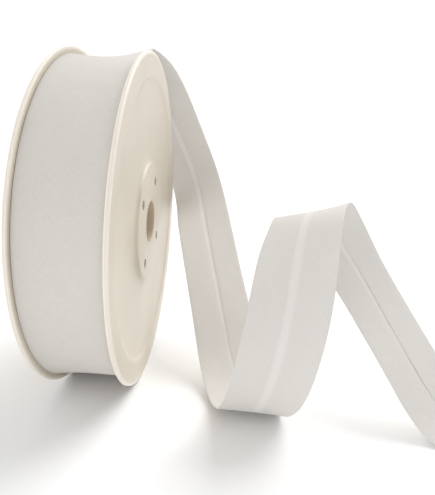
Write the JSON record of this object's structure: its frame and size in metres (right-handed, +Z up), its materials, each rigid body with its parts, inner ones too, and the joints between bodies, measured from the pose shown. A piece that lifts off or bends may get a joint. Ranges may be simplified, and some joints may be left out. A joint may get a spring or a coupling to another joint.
{
  "type": "roll of bias tape on a reel",
  "caption": "Folded off-white bias tape wound on a cream plastic reel, with its loose end curling down, up and over beside it.",
  "frame": {"origin": "middle of the flat that the near rim rests on", "axes": "+X along the reel's axis, out of the face of the near flange; +Z up; -Y towards the viewer of the picture"},
  "size_m": [0.2229, 0.1587, 0.1554],
  "materials": {
    "reel_plastic": "satin cream moulding",
    "tape_cotton": "plain weave cotton cut on the bias"
  },
  "bodies": {
    "root": {"reel_flange_near": "reel_plastic", "reel_flange_far": "reel_plastic", "reel_barrel": "reel_plastic", "reel_bore_tube": "reel_plastic", "tape_roll": "tape_cotton", "tape_tail": "tape_cotton"}
  },
  "joints": []
}
